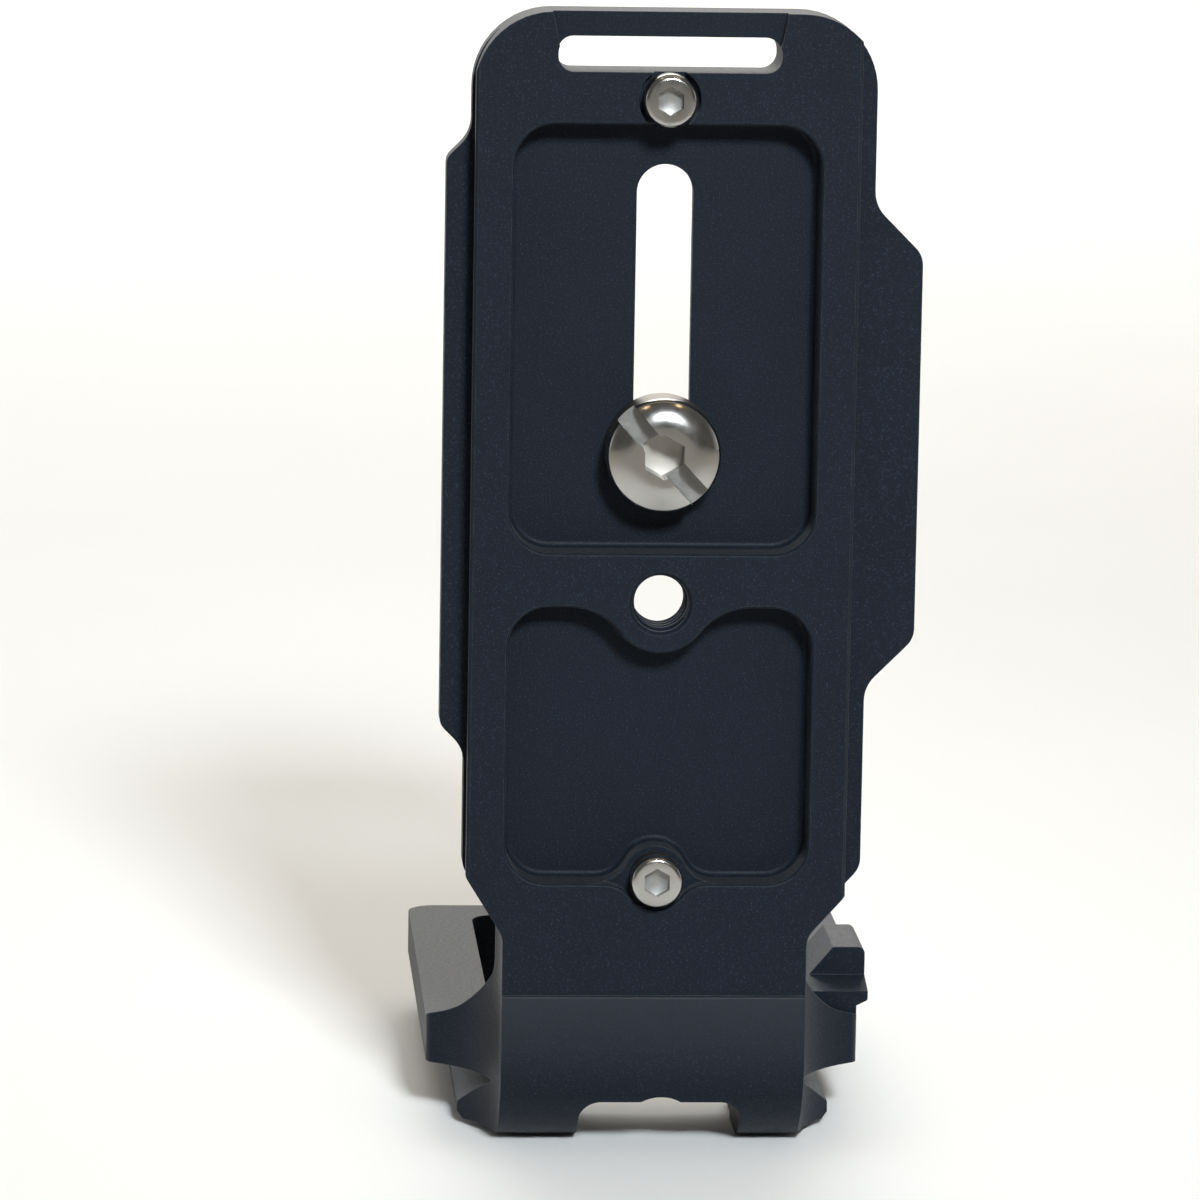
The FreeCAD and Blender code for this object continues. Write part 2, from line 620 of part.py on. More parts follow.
def make_camera_screw():
    """Quarter-inch screw: domed head with a coin slot and a hex socket, neck and threaded end."""
    seat = HEAD_SEAT
    crown = HEAD_CROWN
    neck_end = BASE_THICKNESS - RING_SUNK
    tip = BASE_THICKNESS + THREAD_REACH
    rim = HEAD_DIAMETER / 2
    neck = SCREW_NECK_DIAMETER / 2
    thread = THREAD_DIAMETER / 2
    slope = math.radians(DOME_SLOPE)
    dome_run = rim - HEAD_CROWN_DIAMETER / 2 - HEAD_EDGE_RADIUS * (1 - math.sin(slope))
    dome_radius = dome_run / math.sin(slope)
    dome_foot = HEAD_CROWN_DIAMETER / 2 + dome_radius * math.tan(slope / 2)
    profile = [
        (0, crown, 0),
        (dome_foot, crown, dome_radius),
        (rim, crown + (rim - dome_foot) * math.tan(slope), HEAD_EDGE_RADIUS),
        (rim, seat - HEAD_SEAT_CHAMFER, 0),
        (rim - HEAD_SEAT_CHAMFER, seat, 0),
        (neck, seat, 0),
        (neck, neck_end, 0),
        (thread, neck_end, 0),
        (thread, tip - THREAD_LEAD_CHAMFER, 0),
        (thread - THREAD_LEAD_CHAMFER, tip, 0),
        (0, tip, 0),
    ]
    half = COIN_SLOT_WIDTH / 2
    groove = rectangle(-rim - OVERRUN, rim + OVERRUN, -half, half)
    coin_slot = prism(groove, front, crown - OVERRUN, crown + COIN_SLOT_DEPTH)
    coin_slot.rotate(FreeCAD.Vector(), FreeCAD.Vector(0, 1, 0), COIN_SLOT_ANGLE)
    coin_slot.translate(front(0, SCREW_REST))
    socket = hexagon_bar(HEX_ACROSS_FLATS, SCREW_REST, crown - OVERRUN, crown + HEX_DEPTH)
    return revolved(profile, SCREW_REST).cut([coin_slot, socket])


def make_screw_retaining_ring():
    """Open snap ring round the neck of the camera screw, lying in the channel."""
    near = RING_FLOOR + RING_GAP
    far = near + RING_THICKNESS
    inside = SCREW_NECK_DIAMETER + 2 * RING_FIT
    ring = rod(RING_DIAMETER, SCREW_REST, near, far).cut(rod(inside, SCREW_REST, near, far))
    half = RING_OPENING / 2
    mouth = prism(rectangle(-half, half, SCREW_REST, SCREW_REST + RING_DIAMETER), front, near, far)
    return ring.cut(mouth)


def stop_screw(height):
    """Socket-cap screw that stands proud of the dovetail face."""
    seat = COUNTERBORE_DEPTH
    crown = STOP_CROWN
    rim = STOP_HEAD_DIAMETER / 2
    thread = STOP_THREAD_DIAMETER / 2 - STOP_HOLE_FIT
    profile = [
        (0, crown, 0),
        (rim - STOP_HEAD_CHAMFER, crown, 0),
        (rim, crown + STOP_HEAD_CHAMFER, 0),
        (rim, seat, 0),
        (thread, seat, 0),
        (thread, seat + STOP_THREAD_LENGTH, 0),
        (0, seat + STOP_THREAD_LENGTH, 0),
    ]
    socket = hexagon_bar(STOP_HEX_ACROSS_FLATS, height, crown - OVERRUN, crown + STOP_HEX_DEPTH)
    return revolved(profile, height).cut(socket)


def make_stop_screws():
    """Both stop screws."""
    return Part.makeCompound([stop_screw(LOW_STOP), stop_screw(HIGH_STOP)])


PARTS = {
    "bracket": make_bracket,
    "camera_screw": make_camera_screw,
    "screw_retaining_ring": make_screw_retaining_ring,
    "stop_screws": make_stop_screws,
}


def main():
    """Write one file for each sub-part."""
    os.makedirs("parts", exist_ok=True)
    for name, make in PARTS.items():
        piece = make()
        piece.translate(FreeCAD.Vector(-MIDDLE_X, -MIDDLE_Y, 0))
        piece.exportStep("parts/" + name + ".step")


main()
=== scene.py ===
import json
import math

import bmesh
import bpy
from mathutils import Matrix, Vector


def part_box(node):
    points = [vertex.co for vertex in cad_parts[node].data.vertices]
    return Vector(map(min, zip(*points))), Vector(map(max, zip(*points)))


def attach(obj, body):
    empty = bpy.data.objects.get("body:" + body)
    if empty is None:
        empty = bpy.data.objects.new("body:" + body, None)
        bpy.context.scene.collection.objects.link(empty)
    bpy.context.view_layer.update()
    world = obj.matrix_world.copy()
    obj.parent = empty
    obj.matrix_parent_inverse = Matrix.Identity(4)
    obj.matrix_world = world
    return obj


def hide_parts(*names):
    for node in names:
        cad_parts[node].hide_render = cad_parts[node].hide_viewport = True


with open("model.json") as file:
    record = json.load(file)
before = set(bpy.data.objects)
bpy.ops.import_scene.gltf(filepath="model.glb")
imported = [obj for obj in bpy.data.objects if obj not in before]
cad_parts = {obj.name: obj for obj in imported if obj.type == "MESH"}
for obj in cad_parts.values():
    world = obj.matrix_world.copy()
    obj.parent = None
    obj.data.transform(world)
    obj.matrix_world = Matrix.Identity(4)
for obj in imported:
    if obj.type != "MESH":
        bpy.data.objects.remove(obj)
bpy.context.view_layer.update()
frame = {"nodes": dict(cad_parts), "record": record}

MM = 0.001

# The photograph's camera, in pixels, degrees, millimetres of sensor and metres
PHOTO_WIDTH = 1199
FOCAL_PIXELS = 6701.7
SENSOR_WIDTH = 36.0
CAMERA_PLACE = Vector((-0.05097, -0.68848, 0.16576))
CAMERA_YAW = 3.765
CAMERA_PITCH = 9.460
CAMERA_ROLL = 0.952
CLIP_START = 0.05

# Middle of the part, which the key light and the ceiling lamps face
PART_MIDDLE = Vector((0, 0, 0.06))

# Key light, in degrees, metres and watts
KEY_ELEVATION = 29.0
KEY_AZIMUTH = 8.0
KEY_DISTANCE = 0.9
KEY_SIZE = 0.14
KEY_SPREAD = 35.0
KEY_POWER = 0.40
KEY_COLOUR = (0.89, 0.95, 1.0)

# Light overhead
TOP_PLACE = Vector((0.05, 0.45, 1.6))
TOP_TARGET = Vector((0, 0.2, 0))
TOP_SIZE = 1.6
TOP_POWER = 3.5
TOP_COLOUR = (1.0, 0.84, 0.60)

# Light over the floor behind the part
BACK_PLACE = Vector((0, 2.3, 1.4))
BACK_TARGET = Vector((0, 1.0, 0))
BACK_SIZE = 2.0
BACK_SPREAD = 130.0
BACK_POWER = 17.0
BACK_COLOUR = (1.0, 0.94, 0.81)

# Smaller light that whitens the far floor
FAR_PLACE = Vector((0, 1.5, 1.2))
FAR_TARGET = Vector((0, 0.95, 0))
FAR_SIZE = 0.8
FAR_SPREAD = 90.0
FAR_POWER = 3.4
FAR_COLOUR = (0.86, 0.94, 1.0)

# Two ceiling lamps in front, which glint at the top of the screw head
LAMP_PLACES = (Vector((-0.52, -0.69, 1.5)), Vector((0.56, -0.62, 1.5)))
LAMP_SIZE = 0.12
LAMP_POWER = 0.40
LAMP_COLOUR = (1.0, 0.70, 0.36)

# The room, dim in front and bright low down behind; limits are parts of a direction of length 1
ROOM_DIM = (0.11, 0.106, 0.097)
ROOM_BRIGHT = (1.5, 1.5, 1.52)
ROOM_TURN = 0.35
ROOM_LOW = 0.22
ROOM_HIGH = 0.45

# Share of the brightness behind that is left high up
ROOM_CEILING = 0.08

# Floor, with the scale of its mottling in features a metre
FLOOR_HALF = 4.0
FLOOR_TONES = ((0.86, 0.855, 0.845), (0.89, 0.885, 0.875))
FLOOR_SCALE = 6
FLOOR_ROUGHNESS = 0.85

# Middle ring of the screws' flat crowns, in millimetres
CROWN_MIDDLE = 0.2

# Camera screw, in millimetres from the crown of its head
SCREW_SEGMENTS = 96
DOME_STEPS = 12
HEAD_EDGE_STEPS = 14
HEAD_CROWN_RADIUS = 2.8
HEAD_CROWN_RING = 0.6 * HEAD_CROWN_RADIUS
DOME_SLOPE = 40.0
HEAD_EDGE_RADIUS = 0.9
HEAD_HEIGHT = 6.0
HEAD_SEAT_CHAMFER = 0.3
NECK_RADIUS = 2.55
NECK_END = 8.65
COIN_SLOT_WIDTH = 2.2
COIN_SLOT_DEPTH = 2.6
COIN_SLOT_ANGLE = 48.0
HEX_ACROSS_FLATS = 3.9
HEX_DEPTH = 4.0
HEX_POINT = 0.5
SCREW_EDGE = 0.08
QUARTER_INCH_RADIUS = 3.175
QUARTER_INCH_PITCH = 1.27
QUARTER_INCH_DEPTH = 0.70
THREAD_LEAD = 0.6
THREAD_ROWS = 16

# Stop screws, in millimetres from the crown of the head
STOP_SEGMENTS = 64
STOP_ROUND_STEPS = 8
STOP_HEAD_RADIUS = 2.6
STOP_HEAD_HEIGHT = 3.0
STOP_HEAD_ROUND = 0.55
STOP_CROWN_RING = 0.7 * (STOP_HEAD_RADIUS - STOP_HEAD_ROUND)
STOP_HEX_ACROSS_FLATS = 2.5
STOP_HEX_DEPTH = 1.4
STOP_HEX_POINT = 0.4
STOP_EDGE = 0.06
STOP_THREAD_RADIUS = 1.45
STOP_THREAD_LENGTH = 5.0
STOP_THREAD_PITCH = 0.5
STOP_THREAD_DEPTH = 0.26
STOP_THREAD_LEAD = 0.3
STOP_THREAD_ROWS = 10

# Cutting tools start this far in front of a crown and reach this far past a rim, in millimetres
TOOL_MARGIN = 1.0

# Groove of a screw thread: where its flanks would meet, in thread depths, and how steep they are
GROOVE_MEET = 1.35
GROOVE_SLOPE = 3.4

# Thread ridge in the tripod hole, in millimetres, with the steps of a turn and of its fading ends
HOLE_LENGTH = 7.1
HOLE_RADIUS = 2.875
RIDGE_STEPS = 48
RIDGE_FADE = 20
RIDGE_MARGIN = 0.75
RIDGE_ROOT = HOLE_RADIUS + 0.05
RIDGE_FLAT = HOLE_RADIUS + 0.04
RIDGE_HEIGHT = 0.34
RIDGE_HALF_FOOT = 0.50 * QUARTER_INCH_PITCH
RIDGE_HALF_CREST = 0.1

# Edges: rounding of the bracket's own, and the angle from which one of a screw or thread is sharp
EDGE_RADIUS = 0.15 * MM
EDGE_ANGLE = math.radians(28)

# Likeness of the rounded to the flat normal, from an edge to a flat face
EDGE_LIKENESS = (0.90, 0.99)

# Painted highlight on the bend's front face, strongest at its top and fading downwards, in metres: its
# lower and upper end, and how far back it reaches
BEND_HIGHLIGHT_LOW = 0.0060
BEND_HIGHLIGHT_HIGH = 0.0163
BEND_HIGHLIGHT_BACK = -0.031

# Colours of the anodised finish: the dye, a paler colour painted on the bend's front face as a highlight,
# the grain, and a paler colour painted on the edges as a highlight
DYE = ((0.0045, 0.0074, 0.0130), (0.0052, 0.0084, 0.0147))
BEND_HIGHLIGHT_DYE = (0.0200, 0.0222, 0.0292)
GRAIN_DYE = (0.021, 0.030, 0.047)
EDGE_HIGHLIGHT_DYE = (0.085, 0.090, 0.098)

# Texture of the anodised finish: features a metre, including the patches of the painted edge highlight,
# and depth of the grain
MOTTLING_SCALE = 90
GRAIN_SCALE = 5200
EDGE_PATCH_SCALE = 400
GLOSS_SCALE = 2500
GRAIN_DEPTH = 0.016 * MM

# How much the grain sparkles, how strongly the edges are painted paler as a highlight, and how rough the
# finish is
SPARKLE_LIMITS = (0.54, 0.72)
SPARKLE_SHARE = 0.9
EDGE_HIGHLIGHT_SHARES = (0.05, 0.6)
DYE_ROUGHNESS = (0.47, 0.57)

# Colours of the steel: dull and worn places, painted shade on the sides of the heads, the same pair
# painted darker as shade in the slot and sockets, and a painted highlight at the bottom of the camera
# screw's socket
STEEL_DULL = (0.430, 0.422, 0.402)
STEEL_WORN = (0.490, 0.482, 0.462)
# Painted shade on the sides of the heads
SHADED_HEAD_SIDE = (0.12, 0.106, 0.088)
# Steel painted darker as shade in the slot and sockets
SHADED_RECESS_DULL = (0.205, 0.201, 0.190)
SHADED_RECESS_WORN = (0.30, 0.296, 0.283)
# Painted highlight at the bottom of the camera screw's socket
SOCKET_BOTTOM_HIGHLIGHT = (0.42, 0.396, 0.352)

# Texture of the steel: features a metre, and depth of the tool marks
MARK_SCALE = 5000
SCUFF_SCALE = 700
MARK_DEPTH = 0.004 * MM

# How rough the steel is, with factors for polished and scuffed places, and how metallic a recess is
SCREW_ROUGHNESS = 0.17
RECESS_ROUGHNESS = 0.34
RING_ROUGHNESS = 0.32
POLISHED = 0.8
SCUFFED = 1.3
RECESS_METAL = 0.45

# Depths behind the camera screw's crown at which the steel turns matt and takes its painted tone, painted
# shade on the sides of the heads and a painted highlight at the socket's bottom, and its roughness there
SIDE_START = 1.3 * MM
SIDE_END = 6.0 * MM
SOCKET_START = 2.65 * MM
SHADE_WIDTH = 0.5 * MM
SIDE_ROUGHNESS = 0.45


def mount(name):
    """Place of one of the record's mounts."""
    for entry in frame["record"]["mounts"]:
        if entry["name"] == name:
            return Vector(entry["pos_m"])
    raise KeyError(name)


def new_object(name, builder):
    """Put a finished bmesh into the scene as an object, with its faces turned outwards."""
    bmesh.ops.recalc_face_normals(builder, faces=builder.faces)
    mesh = bpy.data.meshes.new(name)
    builder.to_mesh(mesh)
    builder.free()
    piece = bpy.data.objects.new(name, mesh)
    bpy.context.scene.collection.objects.link(piece)
    return piece


def join_rings(builder, rings):
    """Faces from each ring of points to the next one, and over the first and the last ring."""
    for ring, following in zip(rings, rings[1:]):
        for index in range(len(ring)):
            after = (index + 1) % len(ring)
            builder.faces.new((ring[index], ring[after], following[after], following[index]))
    builder.faces.new(rings[0])
    builder.faces.new(rings[-1])


def arc(centre_radius, centre_y, radius, start, finish, steps):
    """Points (y, radius) of an arc in a lathe profile; angles from the outward radius towards +Y."""
    points = []
    for step in range(steps + 1):
        angle = math.radians(start + (finish - start) * step / steps)
        points.append((centre_y + radius * math.sin(angle), centre_radius + radius * math.cos(angle)))
    return points


def thread_radius(y, limit, major, pitch, depth):
    """Radius of a thread at one place along Y, as a function of the turn from 0 to 1."""
    def radius(turn):
        phase = (y / pitch - turn) % 1.0
        groove = max(0.0, min(1.0, GROOVE_MEET - abs(phase - 0.5) * GROOVE_SLOPE))
        return min(limit, major - depth * groove)
    return radius


def thread_rows(start, finish, major, pitch, depth, lead, rows_per_turn):
    """Lathe rows of a screw thread along Y, chamfered at its end."""
    rows = []
    count = max(2, int((finish - start) / pitch * rows_per_turn))
    for row in range(count + 1):
        y = start + (finish - start) * row / count
        limit = min(major, major - lead + (finish - y))
        rows.append((y, thread_radius(y, limit, major, pitch, depth)))
    return rows


def lathe(name, rows, segments):
    """Closed mesh turned round the Y axis. A row is (y, radius), or (y, function of the turn), in mm."""
    builder = bmesh.new()
    rings = []
    for y, radius in rows:
        ring = []
        for segment in range(segments):
            turn = segment / segments
            reach = (radius(turn) if callable(radius) else radius) * MM
            angle = 2 * math.pi * turn
            ring.append(builder.verts.new((reach * math.sin(angle), y * MM, reach * math.cos(angle))))
        rings.append(ring)
    join_rings(builder, rings)
    return new_object(name, builder)


def bar(name, outline, near, far, tip=0.0):
    """Prism along Y over an outline of (x, z), in mm. A tip adds a drilled point behind it."""
    builder = bmesh.new()
    front = [builder.verts.new((x * MM, near * MM, z * MM)) for x, z in outline]
    back = [builder.verts.new((x * MM, far * MM, z * MM)) for x, z in outline]
    builder.faces.new(front)
    if tip > 0:
        point = builder.verts.new((0, (far + tip) * MM, 0))
    else:
        builder.faces.new(back)
    for index in range(len(outline)):
        after = (index + 1) % len(outline)
        builder.faces.new((front[index], front[after], back[after], back[index]))
        if tip > 0:
            builder.faces.new((back[index], back[after], point))
    return new_object(name, builder)


def hexagon(across_flats):
    """Outline of a hexagon with a corner at its top."""
    radius = across_flats / math.sqrt(3)
    angles = [math.pi * step / 3 for step in range(6)]
    return [(radius * math.sin(angle), radius * math.cos(angle)) for angle in angles]


def hex_socket(across_flats, depth, point):
    """Tool that cuts a hex socket with a drilled point at its bottom."""
    return bar("socket_tool", hexagon(across_flats), -TOOL_MARGIN, depth - point, point)


def carve(piece, cutters, finish, shaded_recess):
    """Cut tools out of a piece and delete the tools. The cut faces take the recess material, a copy of
    the steel painted darker as shade.
    """
    paint(piece, finish)
    for cutter in cutters:
        paint(cutter, shaded_recess)
        cut = piece.modifiers.new("cut", "BOOLEAN")
        cut.material_mode = "TRANSFER"
        cut.object = cutter
        cut.operation = "DIFFERENCE"
        cut.solver = "EXACT"
    bpy.context.view_layer.update()
    shaped = bpy.data.meshes.new_from_object(piece.evaluated_get(bpy.context.evaluated_depsgraph_get()))
    piece.modifiers.clear()
    piece.data = shaped
    for cutter in cutters:
        bpy.data.objects.remove(cutter)


def smooth(piece):
    """Shade all faces of a piece smooth."""
    for polygon in piece.data.polygons:
        polygon.use_smooth = True


def soften_edges(piece, width):
    """Round off the sharp edges of a piece, with smooth shading across the rounding."""
    smooth(piece)
    bevel = piece.modifiers.new("edge", "BEVEL")
    bevel.width = width
    bevel.segments = 2
    bevel.limit_method = "ANGLE"
    bevel.angle_limit = EDGE_ANGLE
    bevel.harden_normals = True


def camera_screw(finish, shaded_recess):
    """Quarter-inch screw with a domed head, coin slot, hex socket and a real thread."""
    low, high = (Vector(corner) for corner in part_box("camera_screw"))
    axis = mount("camera_screw_thread")
    rim = (high.x - low.x) / 2 / MM
    length = (high.y - low.y) / MM
    slope = math.radians(DOME_SLOPE)
    edge = HEAD_EDGE_RADIUS
    dome = (rim - HEAD_CROWN_RADIUS - edge * (1 - math.sin(slope))) / math.sin(slope)
    edge_depth = dome - (dome - edge) * math.cos(slope)
    rows = [(0, CROWN_MIDDLE), (0, HEAD_CROWN_RING)]
    rows += arc(HEAD_CROWN_RADIUS, dome, dome, -90, DOME_SLOPE - 90, DOME_STEPS)
    rows += arc(rim - edge, edge_depth, edge, DOME_SLOPE - 90, 0, HEAD_EDGE_STEPS)[1:]
    rows += [(HEAD_HEIGHT - HEAD_SEAT_CHAMFER, rim), (HEAD_HEIGHT, rim - HEAD_SEAT_CHAMFER)]
    rows += [(HEAD_HEIGHT, NECK_RADIUS), (NECK_END, NECK_RADIUS)]
    rows += thread_rows(NECK_END, length, QUARTER_INCH_RADIUS, QUARTER_INCH_PITCH, QUARTER_INCH_DEPTH,
                        THREAD_LEAD, THREAD_ROWS)
    screw = lathe("camera_screw_turned", rows, SCREW_SEGMENTS)
    half = COIN_SLOT_WIDTH / 2
    reach = rim + TOOL_MARGIN
    groove = [(-reach, -half), (reach, -half), (reach, half), (-reach, half)]
    slot = bar("slot_tool", groove, -TOOL_MARGIN, COIN_SLOT_DEPTH)
    slot.data.transform(Matrix.Rotation(math.radians(COIN_SLOT_ANGLE), 4, "Y"))
    socket = hex_socket(HEX_ACROSS_FLATS, HEX_DEPTH, HEX_POINT)
    carve(screw, [slot, socket], finish, shaded_recess)
    screw.data.transform(Matrix.Translation((axis.x, low.y, axis.z)))
    soften_edges(screw, SCREW_EDGE * MM)
    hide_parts("camera_screw")
    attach(screw, "camera_screw")


def stop_screw(name, place, finish, shaded_recess):
    """Socket-cap screw with a rounded rim and a fine thread."""
    round_off = STOP_HEAD_ROUND
    rim = STOP_HEAD_RADIUS
    rows = [(0, CROWN_MIDDLE), (0, STOP_CROWN_RING)]
    rows += arc(rim - round_off, round_off, round_off, -90, 0, STOP_ROUND_STEPS)
    rows += [(STOP_HEAD_HEIGHT, rim), (STOP_HEAD_HEIGHT, STOP_THREAD_RADIUS)]
    length = STOP_HEAD_HEIGHT + STOP_THREAD_LENGTH
    rows += thread_rows(STOP_HEAD_HEIGHT, length, STOP_THREAD_RADIUS, STOP_THREAD_PITCH,
                        STOP_THREAD_DEPTH, STOP_THREAD_LEAD, STOP_THREAD_ROWS)
    screw = lathe(name, rows, STOP_SEGMENTS)
    socket = hex_socket(STOP_HEX_ACROSS_FLATS, STOP_HEX_DEPTH, STOP_HEX_POINT)
    carve(screw, [socket], finish, shaded_recess)
    screw.data.transform(Matrix.Translation(place))
    soften_edges(screw, STOP_EDGE * MM)
    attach(screw, "bracket")
    return screw


def stop_screws(finish, shaded_recess):
    """Both stop screws, in place of their group in the frame."""
    low, high = (Vector(corner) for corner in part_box("stop_screws"))
    middle = (low.x + high.x) / 2
    rim = STOP_HEAD_RADIUS * MM
    lower = stop_screw("stop_screw_low", Vector((middle, low.y, low.z + rim)), finish, shaded_recess)
    stop_screw("stop_screw_high", Vector((middle, low.y, high.z - rim)), finish, shaded_recess)
    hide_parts("stop_screws")


def tripod_thread():
    """Ridge of the thread inside the tripod hole, fading out at both of its ends."""
    centre = mount("tripod_hole")
    turns = (HOLE_LENGTH - 2 * RIDGE_MARGIN) / QUARTER_INCH_PITCH
    count = int(turns * RIDGE_STEPS)
    builder = bmesh.new()
    sections = []
    for step in range(count + 1):
        turn = step / RIDGE_STEPS
        fade = min(1.0, step / RIDGE_FADE, (count - step) / RIDGE_FADE)
        crest = RIDGE_FLAT - RIDGE_HEIGHT * fade
        y = -HOLE_LENGTH / 2 + RIDGE_MARGIN + turn * QUARTER_INCH_PITCH
        angle = 2 * math.pi * turn
        profile = [(RIDGE_ROOT, -RIDGE_HALF_FOOT), (crest, -RIDGE_HALF_CREST),
                   (crest, RIDGE_HALF_CREST), (RIDGE_ROOT, RIDGE_HALF_FOOT)]
        section = []
        for radius, along in profile:
            place = Vector((radius * math.sin(angle), y + along, radius * math.cos(angle))) * MM
            section.append(builder.verts.new(place + centre))
        sections.append(section)
    join_rings(builder, sections)
    thread = new_object("tripod_hole_thread", builder)
    smooth(thread)
    thread.data.set_sharp_from_angle(angle=EDGE_ANGLE)
    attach(thread, "bracket")
    return thread


def material(name):
    """New material with its node tree, its shader and an object-space coordinate."""
    made = bpy.data.materials.new(name)
    made.use_nodes = True
    tree = made.node_tree
    shader = tree.nodes["Principled BSDF"]
    place = tree.nodes.new("ShaderNodeTexCoord").outputs["Object"]
    return made, tree, shader, place


def noise(tree, place, scale, detail=2.0, roughness=0.5):
    """Noise texture; scale is in features a metre."""
    texture = tree.nodes.new("ShaderNodeTexNoise")
    texture.inputs["Scale"].default_value = scale
    texture.inputs["Detail"].default_value = detail
    texture.inputs["Roughness"].default_value = roughness
    tree.links.new(place, texture.inputs["Vector"])
    return texture.outputs["Fac"]


def spread(tree, value, low, high, start=0.3, finish=0.7):
    """Map a value from start to finish onto the range from low to high."""
    node = tree.nodes.new("ShaderNodeMapRange")
    node.inputs["From Min"].default_value = start
    node.inputs["From Max"].default_value = finish
    node.inputs["To Min"].default_value = low
    node.inputs["To Max"].default_value = high
    tree.links.new(value, node.inputs["Value"])
    return node.outputs["Result"]


def split(tree, vector):
    """Outputs X, Y and Z of a vector."""
    node = tree.nodes.new("ShaderNodeSeparateXYZ")
    tree.links.new(vector, node.inputs["Vector"])
    return node.outputs


def combine(tree, operation, first, second):
    """Product or larger one of two values, by the name of the operation."""
    node = tree.nodes.new("ShaderNodeMath")
    node.operation = operation
    tree.links.new(first, node.inputs[0])
    tree.links.new(second, node.inputs[1])
    return node.outputs["Value"]


def blend(tree, factor, first, second):
    """Mix two colours by a factor. Each may be the output of another node."""
    node = tree.nodes.new("ShaderNodeMix")
    node.data_type = "RGBA"
    tree.links.new(factor, node.inputs["Factor"])
    for socket, colour in ((node.inputs["A"], first), (node.inputs["B"], second)):
        if isinstance(colour, bpy.types.NodeSocket):
            tree.links.new(colour, socket)
        else:
            socket.default_value = (*colour, 1)
    return node.outputs["Result"]


def bump(tree, height, depth, strength, under=None):
    """Bump of a given depth in metres, on top of another normal if one is given."""
    node = tree.nodes.new("ShaderNodeBump")
    node.inputs["Distance"].default_value = depth
    node.inputs["Strength"].default_value = strength
    tree.links.new(height, node.inputs["Height"])
    if under:
        tree.links.new(under, node.inputs["Normal"])
    return node.outputs["Normal"]


def round_edges(tree):
    """Normal that rounds off the edges, and a mask that is 1 on the edges and 0 elsewhere."""
    soft = tree.nodes.new("ShaderNodeBevel")
    soft.samples = 6
    soft.inputs["Radius"].default_value = EDGE_RADIUS
    flat = tree.nodes.new("ShaderNodeNewGeometry")
    likeness = tree.nodes.new("ShaderNodeVectorMath")
    likeness.operation = "DOT_PRODUCT"
    tree.links.new(soft.outputs["Normal"], likeness.inputs[0])
    tree.links.new(flat.outputs["Normal"], likeness.inputs[1])
    return soft.outputs["Normal"], spread(tree, likeness.outputs["Value"], 1, 0, *EDGE_LIKENESS)


def bend_highlight(tree, place):
    """Mask of the painted highlight on the bend's front face, strongest at its top and fading out
    downwards.
    """
    parts = split(tree, place)
    rising = spread(tree, parts["Z"], 0, 1, BEND_HIGHLIGHT_LOW, BEND_HIGHLIGHT_HIGH)
    below = spread(tree, parts["Z"], 1, 0, BEND_HIGHLIGHT_HIGH, BEND_HIGHLIGHT_HIGH + EDGE_RADIUS)
    near = spread(tree, parts["Y"], 1, 0, BEND_HIGHLIGHT_BACK - EDGE_RADIUS, BEND_HIGHLIGHT_BACK)
    return combine(tree, "MULTIPLY", rising, combine(tree, "MULTIPLY", below, near))


def anodised():
    """Bead-blasted aluminium, anodised blue-black: fine grain, faint mottling, paler edges in random
    patches painted as a highlight, and a painted highlight on the bend's front face, fading downwards.
    """
    made, tree, shader, place = material("anodised")
    mottling = spread(tree, noise(tree, place, MOTTLING_SCALE, 4), 0, 1)
    grain = noise(tree, place, GRAIN_SCALE, 3, 0.65)
    soft, edges = round_edges(tree)
    sparkle = spread(tree, grain, 0, SPARKLE_SHARE, *SPARKLE_LIMITS)
    patches = spread(tree, noise(tree, place, EDGE_PATCH_SCALE, 4), *EDGE_HIGHLIGHT_SHARES)
    # Paler edges in random patches, painted as a highlight
    edge_highlight = combine(tree, "MULTIPLY", edges, patches)
    colour = blend(tree, mottling, *DYE)
    # Painted highlight on the bend's front face, fading downwards
    colour = blend(tree, bend_highlight(tree, place), colour, BEND_HIGHLIGHT_DYE)
    colour = blend(tree, sparkle, colour, GRAIN_DYE)
    colour = blend(tree, edge_highlight, colour, EDGE_HIGHLIGHT_DYE)
    tree.links.new(colour, shader.inputs["Base Color"])
    gloss = spread(tree, noise(tree, place, GLOSS_SCALE, 3), *DYE_ROUGHNESS)
    tree.links.new(gloss, shader.inputs["Roughness"])
    tree.links.new(bump(tree, grain, GRAIN_DEPTH, 0.7, soft), shader.inputs["Normal"])
    shader.inputs["Specular IOR Level"].default_value = 0.115
    shader.inputs["IOR"].default_value = 1.5
    shader.inputs["Sheen Weight"].default_value = 0.04
    shader.inputs["Sheen Roughness"].default_value = 0.5
    return made


